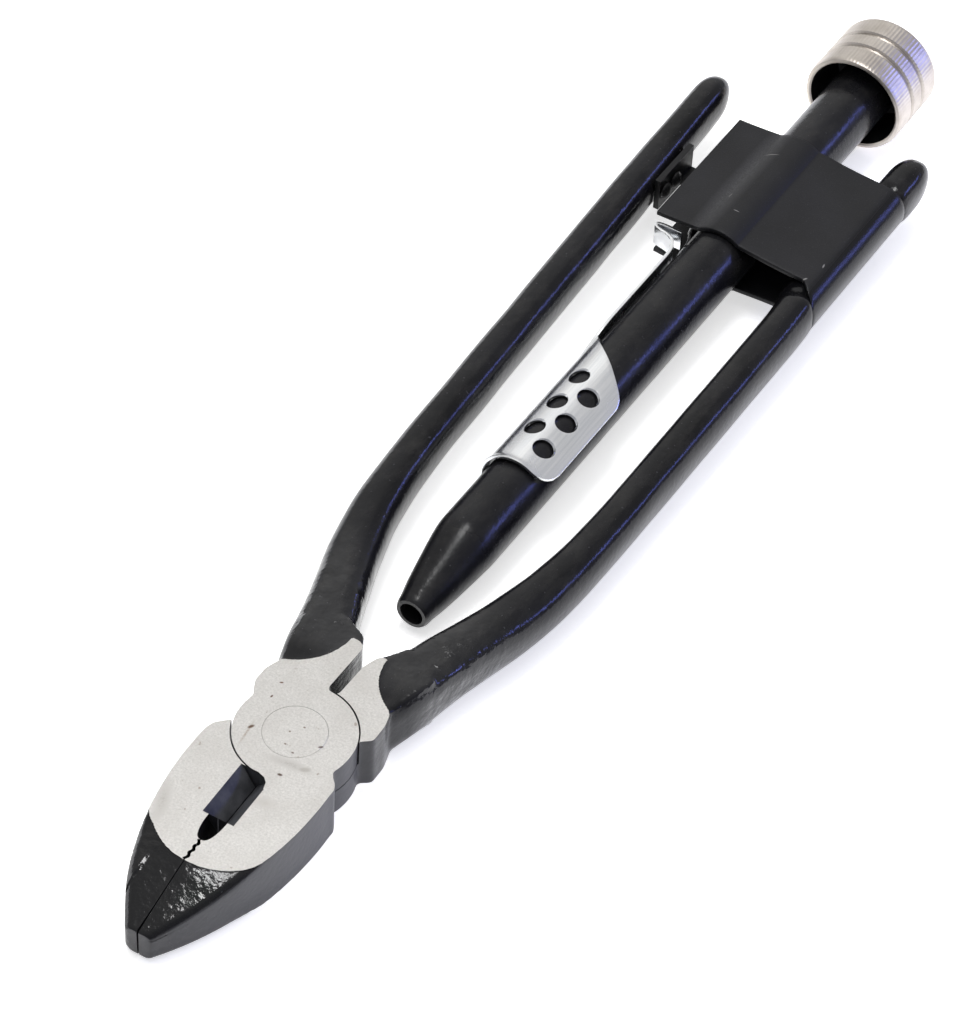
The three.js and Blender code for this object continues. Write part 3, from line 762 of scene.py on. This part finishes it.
def cutter_grooves(side):
    half, deep = CUTTER_HALF, CUTTER_DEPTH
    tools = []
    for sign in (1, -1):
        face = MID + sign * MID
        brim = (half + 0.4, face + sign * 0.52)
        outline = [(-brim[0], brim[1]), (0, face - sign * deep), brim]
        tool = long_prism("groove", outline, -CUTTER_END, -CUTTER_START, MACHINED)
        # The plan rounds the groove's rear right corner.
        corner = [(4, 3), (2.62, 2.3), (2.3, 1.1), (1.5, 0.35), (0.4, 0.05), (0, -1), (-4, -1)]
        plan = [(-4, -CUTTER_END - 1), (4, -CUTTER_END - 1)]
        plan += [(x, -CUTTER_START - back) for x, back in corner]
        combine(tool, "INTERSECT", prism("plan", plan, -4, 15, MACHINED))
        c, s = math.cos(JAW_YAW), math.sin(JAW_YAW)
        tools.append(reshape(tool, lambda x, y, z: (x * c - y * s + JAW_OFFSET, x * s + y * c, z)))
    return tools


def head_shape(x, y, z):
    """Where a forging's point goes: the nose and the necks fall away from the ground face."""
    offset = z - MID
    if y < -6:
        reach = math.hypot(x - GROUND_X, min(0, y - GROUND_Y))
        if x < -5:
            reach = min(reach, GROUND_RADIUS + 0.75 * (0.62 * (-x - 5) - (y + 27.9)))
        if offset > 0:
            slope = NOSE_FALL if reach > GROUND_RADIUS else GROUND_RISE
            face = min(MID + CROWN, HEAD + slope * (GROUND_RADIUS - reach))
        else:
            slope = UNDER_FALL if reach > UNDER_RADIUS else GROUND_RISE
            face = max(MID - CROWN, slope * (reach - UNDER_RADIUS))
        across = (x - JAW_OFFSET) * math.cos(JAW_YAW) + y * math.sin(JAW_YAW)
        inside = jaw_reach(y, 1 if across > 0 else -1) - abs(across)
        edge = NOSE_EDGE * ease(-y, 24, 30) * max(0, 1 - max(0, inside) / 1.1) ** 1.5
        edge = math.copysign(edge, offset) * ease(abs(offset), 2.2, 3.6)
        z = MID + offset * abs(face - MID) / CROWN - edge
    elif y > 7:
        reach = math.hypot(abs(x) - 13.5, y - 20.5) - (9.9 if x > 0 else 10.2)
        depth = min(reach, (19.9 if x > 0 else 20.7) - y)
        lift = 0.55 * math.tanh(depth) if depth > 0 else 0.16 * math.tanh(depth * 1.6)
        share = (MID + lift) / CROWN
        fade = ease(y, 24.5, 31.5)
        z = MID + offset * (share * (1 - fade) + fade)
    ripple = 0.035 * noise.noise(Vector((x, y * 0.45, z)) * 0.22)
    return x * (1 + ripple / 8), y, z + ripple


def forging(name, stations, neck, side, mirror, turn):
    parts = [
        handle_bar("bar", stations, mirror, turn),
        prism("neck", neck, MID - CROWN, MID + CROWN),
        jaw_blank("jaw", side),
        disc("boss", BOSS_RADIUS, MID - CROWN, MID + CROWN),
    ]
    body = joined(name, *parts)
    modify(body, "REMESH", mode="VOXEL", voxel_size=0.36 * MM)
    modify(body, "SMOOTH", factor=0.5, iterations=6)
    body.data.materials.clear()
    body.data.materials.append(ENAMEL)
    return reshape(body, head_shape)


def machined(half, side):
    """Grinds the flats and cuts the lap, the split, the cutters and the rivet's hole."""
    slab = prism("slab", [(-60, -60), (60, -60), (60, 200), (-60, 200)], 0, HEAD, GROUND)
    combine(half, "INTERSECT", slab)
    low, high = (-2, MID + LAP_GAP / 2) if side > 0 else (MID - LAP_GAP / 2, 13)
    lap = disc("lap", LAP_RADIUS, low, high, MACHINED)
    hole = disc("hole", RIVET_HOLE, -2, 13, MACHINED)
    split = split_cutter("split", side)
    return combine(half, "DIFFERENCE", lap, split, *cutter_grooves(side), hole)


LEFT_NECK = [
    (-0.7, 4), (-0.7, 19.6), (-2.2, 22.2), (-6, 24), (-12.4, 20.4), (-10.8, 14.5), (-10.1, 10.4),
    (-10.9, 8), (-10.9, 5.2), (-9.8, 3), (-5, 1),
]
RIGHT_NECK = [
    (1.25, 4), (1.35, 16.6), (2.3, 19.6), (5, 24), (12.2, 20.4), (10.5, 14.4), (9.9, 11.6),
    (10.7, 8.4), (10.8, 5.2), (9.4, 4.1), (5, 1),
]


def left_half():
    half = forging("forged_left_half", HANDLE + PLAIN_END, LEFT_NECK, 1, True, LEFT_TURN)
    machined(half, 1)
    seat = prism("seat", [(-19.1, 138), (-10, 138), (-10, 150.5), (-19.1, 150.5)], -2, 13, ENAMEL)
    combine(half, "DIFFERENCE", seat)
    finish_piece(half, "left_lever", ["left_half"])


def right_half():
    half = forging("forged_right_half", HANDLE + BRACKET_GRIP, RIGHT_NECK, -1, False, 0)
    machined(half, -1)
    finish_piece(half, "frame", ["right_half"])


def rivet():
    top = [(RIVET_RADIUS, HEAD - 0.05), (5.05, HEAD), (0.01, HEAD)]
    turns = [i / 96 * math.tau for i in range(96)]
    rings = []
    for r, z in [(0.01, 0), (5.05, 0), (RIVET_RADIUS, 0.05), *top]:
        rings.append([(r * math.cos(t), r * math.sin(t), z) for t in turns])
    piece = loft("riveted_pivot", rings, GROUND)
    finish_piece(piece, "frame", ["pivot_rivet"])


# ---------------------------------------------------------------- twister


def spindle_tube():
    """The drawn nose keeps its underside straight, so its crown falls."""
    outer = [
        [NOSE_Y, 2.72, -2.2], [NOSE_Y + 0.35, 2.95, -2.2], [NOSE_Y + 2, 3.25, -1.95],
        [39.5, 3.75, -1.6], [44, 4.5, -0.95], [TAPER_Y - 1.5, 5.3, -0.15], [TAPER_Y, 5.45, -0.03],
        [TAPER_Y + 1.5, TUBE_RADIUS, 0], [TAPER_Y + 6, TUBE_RADIUS, 0], [118, TUBE_RADIUS, 0],
        [TUBE_END, TUBE_RADIUS, 0],
    ]
    steps = [NOSE_Y + i * 0.5 for i in range(44)] + [58 + i * 2 for i in range(64)]
    rows = along(outer, [s for s in steps if s < TUBE_END] + [TUBE_END])
    inner = [[NOSE_Y, 2.1, -2.2], [NOSE_Y + 3, 2.3, -1.9], [TAPER_Y, 4.4, 0]]
    inner.append([TUBE_END, TUBE_BORE, 0])
    bore = along(inner, [TUBE_END, 120, 60, TAPER_Y, 46, 41, NOSE_Y + 3, NOSE_Y + 1, NOSE_Y])
    rings = []
    for y, radius, drop in rows + bore:
        ring = []
        for j in range(72):
            t = j / 72 * math.tau
            ring.append((TUBE_X + radius * math.cos(t), y, MID + drop + radius * math.sin(t)))
        rings.append(ring)
    piece = loft("drawn_spindle_tube", rings, TUBE_ENAMEL, hollow=True)
    finish_piece(piece, "frame", ["spindle_tube"])


def twisted_rod():
    """Flat bar twisted about its length, with turned ends."""
    rings = []
    half_w, half_t, corner = ROD_WIDTH / 2, ROD_THICKNESS / 2, 0.25
    section = rounded(
        [(-half_w, -half_t + corner), (-half_w + corner, -half_t), (half_w - corner, -half_t),
         (half_w, -half_t + corner), (half_w, half_t - corner), (half_w - corner, half_t),
         (-half_w + corner, half_t), (-half_w, half_t - corner)],
        1, True,
    )
    y = ROD_START
    while y <= ROD_FLAT_END:
        turn = y / ROD_LEAD * math.tau
        c, s = math.cos(turn), math.sin(turn)
        rings.append([(TUBE_X + x * c + z * s, y, MID + z * c - x * s) for x, z in section])
        y += 0.8
    bar = loft("twisted_rod", rings, ZINC)
    end = [(0.01, 55.6), (1.1, 55.6), (1.3, 55.8), (1.3, 67), (0.01, 67)]
    journal = turned("journal", end, ZINC, 40)
    shank = turned("shank", [(0.01, 184.6), (2, 184.6), (2, 191.9), (0.01, 191.9)], ZINC, 48)
    combine(bar, "UNION", journal, shank)
    finish_piece(bar, "knob", ["twist_rod"])


def return_spring():
    """Coiled wire between the follower and the nut, made at one length; the real one shortens as
    the knob is pulled.
    """
    rings = []
    steps = 28
    for i in range(SPRING_TURNS * steps + 1):
        turns = i / steps
        turn = turns * math.tau
        middle = np.interp(
            turns,
            [0, 1, SPRING_TURNS - 1, SPRING_TURNS],
            [SPRING_FRONT, SPRING_FRONT + 1, SPRING_REAR - 1, SPRING_REAR],
        )
        ring = []
        for j in range(10):
            t = j / 10 * math.tau
            reach = SPRING_RADIUS + SPRING_WIRE * math.cos(t)
            y = middle + SPRING_WIRE * math.sin(t)
            ring.append((TUBE_X + reach * math.cos(turn), y, MID + reach * math.sin(turn)))
        rings.append(ring)
    piece = loft("coiled_return_spring", rings, SPRING)
    finish_piece(piece, "frame", ["return_spring"])
    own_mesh(piece)


def knob():
    """A turned cup that opens towards the jaws, knurled in three bands parted by grooves."""
    grooves = [KNOB_Y + 4.9, KNOB_Y + 8.7]
    rim = KNOB_END + KNOB_RIM
    bore, grip, floor = KNOB_BORE, KNOB_RADIUS, KNOB_END - KNOB_WALL
    profile = [(bore, KNOB_Y + 0.5), (bore + 0.12, KNOB_Y + 0.2), (bore + 0.4, KNOB_Y)]
    profile += [(grip - 0.6, KNOB_Y), (grip - 0.2, KNOB_Y + 0.15), (grip, KNOB_Y + 0.6)]
    at = KNOB_Y + 0.6
    for y in grooves + [rim - 1.3]:
        stop = y - 0.6 if y in grooves else y
        count = max(2, int((stop - at) / 0.35))
        profile += [(grip, at + (stop - at) * i / count) for i in range(1, count + 1)]
        if y in grooves:
            profile += [(grip - 0.12, y - 0.5), (grip - 0.5, y - 0.3), (grip - 0.6, y)]
            profile += [(grip - 0.5, y + 0.3), (grip - 0.12, y + 0.5), (grip, y + 0.6)]
            at = y + 0.6
    for i in range(1, 7):
        t = i / 6 * math.pi / 2
        profile.append((grip - 1.3 + 1.3 * math.cos(t), rim - 1.3 + 1.3 * math.sin(t)))
    profile += [(5.6, rim), (5.4, rim - 0.12), (5.3, KNOB_END), (2.3, KNOB_END), (2.3, floor)]
    profile += [(bore - 0.8, floor), (bore - 0.2, floor - 0.25), (bore, floor - 0.9)]
    gripped = (KNOB_Y + 0.6, rim - 1.3)

    def knurl(r, y, turn):
        if r < grip - 0.2 or not gripped[0] <= y <= gripped[1]:
            return r
        return r - KNURL_DEPTH * (0.5 + 0.5 * math.cos(KNURL_TEETH * turn))

    piece = turned("knurled_knob", profile, NICKEL, KNURL_TEETH * 6, knurl)
    # Painted shade: the inside of the cup gets the near-black steel, which darkens the recess.
    piece.data.materials.append(OILED_STEEL_AND_BORE_SHADE)
    for face in piece.data.polygons:
        centre = face.center / MM
        reach = math.hypot(centre.x - TUBE_X, centre.z - MID)
        inside = reach < bore + 0.1 and KNOB_Y + 0.25 < centre.y < KNOB_END - 1
        face.material_index = int(inside)
    finish_piece(piece, "knob", ["knob_shell"])


def knob_end():
    washer = [(2.1, 0), (4.3, 0), (4.4, 0.1), (4.4, 0.6), (4.3, 0.7), (2.1, 0.7)]
    piece = turned("knob_end_washer", [(r, WASHER_Y + y) for r, y in washer], ZINC)
    finish_piece(piece, "knob", ["knob_washer"])
    profile = [(0.01, -6), (0.8, -6), (1, -5.8), (1, 0), (3.45, 0), (3.6, 0.15), (3.6, 0.9)]
    arc = [t / 8 * 1.45 for t in range(1, 9)]
    profile += [(3.6 * math.cos(t), 0.9 + 1.2 * math.sin(t)) for t in arc] + [(0.01, 2.1)]
    screw = turned("knob_end_screw", [(r, SCREW_SEAT + y) for r, y in profile], ZINC, 64)
    corners = ((-4, -0.45), (4, -0.45), (4, 0.45), (-4, 0.45))
    slot = [(TUBE_X + x, MID + z) for x, z in corners]
    combine(screw, "DIFFERENCE", long_prism("slot", slot, SCREW_SEAT + 1, SCREW_SEAT + 3, ZINC))
    finish_piece(screw, "knob", ["knob_screw"])


# ---------------------------------------------------------------- bracket and lock


def offset_path(path, reach):
    """A path in two axes, moved sideways by reach."""
    found = []
    for i, point in enumerate(path):
        before, after = path[max(i - 1, 0)], path[min(i + 1, len(path) - 1)]
        run = (after[0] - before[0], after[1] - before[1])
        size = math.hypot(*run) or 1
        found.append((point[0] + reach * run[1] / size, point[1] - reach * run[0] / size))
    return found


def bracket():
    """Sheet folded round the right handle and bulged over the tube, above and below."""
    half = SHEET / 2
    crest = TUBE_RADIUS + 0.25 + half
    rise = math.asin((SHOULDER_Z - half - MID) / crest)
    top = [(BRACKET_LEFT, BRACKET_LEFT_Z - half), (-10.5, BRACKET_LEFT_Z + 0.18 - half)]
    top += [(TUBE_X - crest * math.cos(rise) - 1.2, SHOULDER_Z - 0.12 - half)]
    for i in range(13):
        turn = math.pi - rise - (math.pi - 2 * rise) * i / 12
        top.append((TUBE_X + crest * math.cos(turn), MID + crest * math.sin(turn)))
    top += [(TUBE_X + crest * math.cos(rise) + 1.2, SHOULDER_Z - 0.1 - half), (9, 9.75 - half)]
    wrap = WRAP_RADIUS - half
    arc = [math.pi / 2 - math.pi * i / 24 for i in range(25)]
    path = list(top)
    for t in arc:
        across = max(0, math.cos(t)) ** WRAP_ROUND
        up = math.copysign(abs(math.sin(t)) ** WRAP_ROUND, math.sin(t))
        path.append((WRAP_X + wrap * across, MID + wrap * up))
    path += [(x, HEAD - z) for x, z in reversed(top)]
    path = rounded(path, 2)
    rows = 34
    outer, inner = [], []
    for grid, reach in ((outer, -half), (inner, half)):
        side = offset_path(path, reach)
        for i in range(rows + 1):
            row = []
            for x, z in side:
                start = max(WRAP_FRONT, BRACKET_FRONT - max(0, x - WRAP_X) * 0.975)
                row.append((x, start + (BRACKET_BACK - start) * i / rows, z))
            grid.append(row)
    piece = sheet_solid("folded_bracket", outer, inner, COATED)
    soften_edges(piece, 0.16, 60)
    finish_piece(piece, "frame", ["handle_bracket"])


def edge_strip(name, path, bottom, top, rounds=2):
    """Sheet on edge: a path in x and y, raised from one height to another."""
    path = rounded(path, rounds)
    grids = []
    for reach in (-SLIDE_SHEET / 2, SLIDE_SHEET / 2):
        side = offset_path(path, reach)
        raised = [(x, y, top(y) if callable(top) else top) for x, y in side]
        grids.append([[(x, y, bottom) for x, y in side], raised])
    return sheet_solid(name, *grids, PLATED)


def lock_slide():
    """One pressing: thumb sleeve, side strip, hairpin stop above and windowed tongue below."""
    sides, rows = 60, 40
    stop, leaves = math.radians(200), math.radians(76)
    total = FLAP + (stop - leaves) * SLEEVE_RADIUS
    outer, inner = [], []
    for grid, radius in ((outer, SLEEVE_RADIUS + SLIDE_SHEET), (inner, SLEEVE_RADIUS)):
        for i in range(rows + 1):
            row = []
            for j in range(sides + 1):
                reach = total * j / sides
                corner = max(0, SLEEVE_CORNER - reach)
                rise = math.sqrt(max(0, SLEEVE_CORNER**2 - corner**2))
                front = SLEEVE_FRONT + SLEEVE_CORNER - rise
                rear = np.interp(
                    reach, [0, 0.5, 1.5, 3, 5, 7.5, 10, 12.2, 13.4, 18],
                    [86.9, 88.3, 89.5, 90.9, 92.7, 95.0, 97.4, 99.9, 100.6, 100.6],
                )
                share = (i / rows) ** 1.4
                y = front + (rear - front) * share
                out = radius + 0.42 * (1 - ease(y - front, 0, 1.5)) * ease(reach, 2, 6)
                turn = leaves + max(0, reach - FLAP) / SLEEVE_RADIUS
                x, z = TUBE_X + out * math.cos(turn), MID + out * math.sin(turn)
                # Past the crown the sheet opens out, on a wider curve than the tube's.
                past = max(0, FLAP - reach)
                lean = leaves - past / FLAP_CURVE / 2
                row.append((x + past * math.sin(lean), y, z - past * math.cos(lean)))
            grid.append(row)
    sleeve = sheet_solid("pressed_lock_slide", outer, inner, PLATED)
    strip_x = TUBE_X - SLEEVE_RADIUS - SLIDE_SHEET / 2
    run = [(strip_x, 86 + i * 1.775) for i in range(21)]

    def strip_top(y):
        return STRIP_LOW + (SLIDE_TOP - STRIP_LOW) * ease(y, 88, 106)

    strip = edge_strip("strip", run, TONGUE_BOTTOM, strip_top, 0)
    bend = [
        (strip_x, 121), (strip_x, 124.6), (strip_x - 0.5, 126.6), (-9.6, 128.2), (-12.4, 128.55),
        (-13.2, 129.2), (-12.6, 129.85), (strip_x - 0.6, 129.85),
    ]
    hairpin = edge_strip("hairpin", bend, HAIRPIN_BOTTOM, SLIDE_TOP)
    run = [(strip_x, 121), (strip_x, 132), (-10.1, 136), (-10.1, 157)]
    tongue = edge_strip("tongue", run, TONGUE_BOTTOM, TONGUE_TOP)
    rear = LUG_Y + LUG_WIDTH - LUG_NOTCH + LOCK_TRAVEL + 0.2
    window = [(-12, LUG_Y - 3), (-9, LUG_Y - 3), (-9, rear), (-12, rear)]
    hole = prism("window", window, TONGUE_BOTTOM + 0.55, TONGUE_TOP - 0.55, PLATED)
    combine(tongue, "DIFFERENCE", hole)
    punches = []
    for i in range(3):
        for x, y in ((-3.5, 74.4), (0.1, 71.0)):
            lean = (x - TUBE_X) / SLEEVE_RADIUS
            axis = Vector((math.sin(lean), 0, math.cos(lean)))
            across = Vector((math.cos(lean), 0, -math.sin(lean)))
            base = Vector((TUBE_X, y + i * 6.9, MID)) + axis * 4
            tip = [(1.8, 0), (1.8, 2.0), (2.02, 2.3), (2.2, 2.7)]
            rings = []
            for r, up in tip:
                ring = []
                for k in range(40):
                    t = k / 40 * math.tau
                    side = across * (r * math.cos(t))
                    ring.append(base + axis * up + side + Vector((0, r * math.sin(t), 0)))
                rings.append(ring)
            punches.append(loft("punch", rings, PLATED))
    combine(sleeve, "DIFFERENCE", *punches)
    combine(sleeve, "UNION", strip, hairpin, tongue)
    soften_edges(sleeve, 0.17, 50)
    finish_piece(sleeve, "lock", ["lock_slide"])


# ---------------------------------------------------------------- pieces that keep their CAD shape


def carry(name, material, bevel=0.12):
    """Gives a CAD node its finish, and softens its edges."""
    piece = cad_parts[name]
    piece.data.materials.clear()
    piece.data.materials.append(material)
    modifier = piece.modifiers.new("Edge", "BEVEL")
    modifier.width, modifier.segments, modifier.angle_limit = bevel * MM, 2, math.radians(40)
    return piece


left_half()
right_half()
rivet()
spindle_tube()
twisted_rod()
return_spring()
knob()
knob_end()
bracket()
lock_slide()
for carried, finish in (
    ("drive_nut", BRASS),
    ("nut_pin_left", TUBE_ENAMEL),
    ("nut_pin_right", TUBE_ENAMEL),
    ("rod_follower", BRASS),
    ("thrust_washer", SPRING),
    ("rod_clip", SPRING),
    ("lock_lug", OILED_STEEL_AND_BORE_SHADE),
    ("lug_rivet_front", OILED_STEEL_AND_BORE_SHADE),
    ("lug_rivet_rear", OILED_STEEL_AND_BORE_SHADE),
):
    carry(carried, finish)

# ---------------------------------------------------------------- studio


# The floor falls as far as the knob hangs below the head, over their distance apart.
FLOOR_SLOPE = 4.52 / 210
FLOOR_HALF = 2500


def studio_floor():
    """White sweep of paper, laid along the line the head and the knob rest on."""
    material, tree, place = start_material("white_backdrop_paper")
    mottle = grain(tree, place, 40, 3)
    colour = blend(tree, mottle, linear("#f7f7f7"), linear("#fbfbfb"))
    glow = {"Emission Color": linear("#ffffff"), "Emission Strength": 0.6}
    wanted = {"Base Color": colour, "Roughness": 0.9, "Specular IOR Level": 0.1}
    finish_material(tree, wanted | glow)
    corners = []
    for x, y in ((-1, -1), (1, -1), (1, 1), (-1, 1)):
        x, y = x * FLOOR_HALF, y * FLOOR_HALF
        corners.append((x, y, -FLOOR_SLOPE * (y + 30) - 0.02))
    floor = mesh_object("backdrop", corners, [(0, 1, 2, 3)], material)


def soft_light(name, towards, distance, width, height, power, colour="#ffffff", seen=True):
    """A rectangular soft box that faces the middle of the pliers."""
    aim = Vector((-2, 60, 5)) * MM
    direction = Vector(towards).normalized()
    lamp = bpy.data.lights.new(name, "AREA")
    lamp.shape, lamp.size, lamp.size_y = "RECTANGLE", width, height
    lamp.energy, lamp.color = power, linear(colour)[:3]
    box = bpy.data.objects.new(name, lamp)
    box.location = aim + direction * distance
    box.visible_glossy = seen
    box.rotation_euler = (-direction).to_track_quat("-Z", "Y").to_euler()
    bpy.context.scene.collection.objects.link(box)


def studio_air():
    """Soft light from all round, brightest from above the left and rear."""
    world = bpy.data.worlds.new("studio")
    world.use_nodes = True
    tree = world.node_tree
    tree.nodes.clear()
    towards = add_node(tree, "ShaderNodeTexCoord").outputs["Generated"]
    bright = Vector((-0.5, 0.6, 0.62)).normalized()
    ends = {0: towards, 1: bright}
    facing = add_node(tree, "ShaderNodeVectorMath", ends, operation="DOT_PRODUCT").outputs["Value"]
    stops = [(0.0, "#77787c"), (0.5, "#9a9ba0"), (0.62, "#b4b5b8"), (0.8, "#b9b9ba")]
    stops += [(0.915, "#bfbfc0"), (0.97, "#e6e5e3"), (1.0, "#fafaf9")]
    share = spread(tree, facing, -1, 1, 0, 1)
    shade = add_node(tree, "ShaderNodeValToRGB", {0: share}, stops=stops).outputs[0]
    air = add_node(tree, "ShaderNodeBackground", {"Color": shade, "Strength": 1.0})
    add_node(tree, "ShaderNodeOutputWorld", {"Surface": air.outputs[0]})
    bpy.context.scene.world = world


def camera():
    lens = bpy.data.cameras.new("camera")
    lens.lens, lens.sensor_width = 147.93, 36
    lens.clip_start, lens.clip_end = 0.05, 20
    eye = bpy.data.objects.new("camera", lens)
    place = Vector((224.09, -336.19, 500.63)) * MM
    aim = Vector((-3.555, 58.982, 5.05)) * MM
    roll = Quaternion((0, 0, 1), math.radians(3.41))
    eye.rotation_mode = "QUATERNION"
    eye.location = place
    eye.rotation_quaternion = (aim - place).to_track_quat("-Z", "Y") @ roll
    bpy.context.scene.collection.objects.link(eye)
    bpy.context.scene.camera = eye


studio_floor()
soft_light("overhead", (-0.1, 0.1, 1), 1.6, 1.6, 1.6, 10, seen=False)
soft_light("ceiling_lamp", (-0.14, 0.14, 0.975), 1.5, 0.33, 0.42, 7)
soft_light("blue_strip", (0.736, 0.587, 0.338), 1.2, 0.8, 0.09, 3.3, "#7f8cff")
studio_air()
bpy.context.scene.view_settings.view_transform = "Standard"
camera()
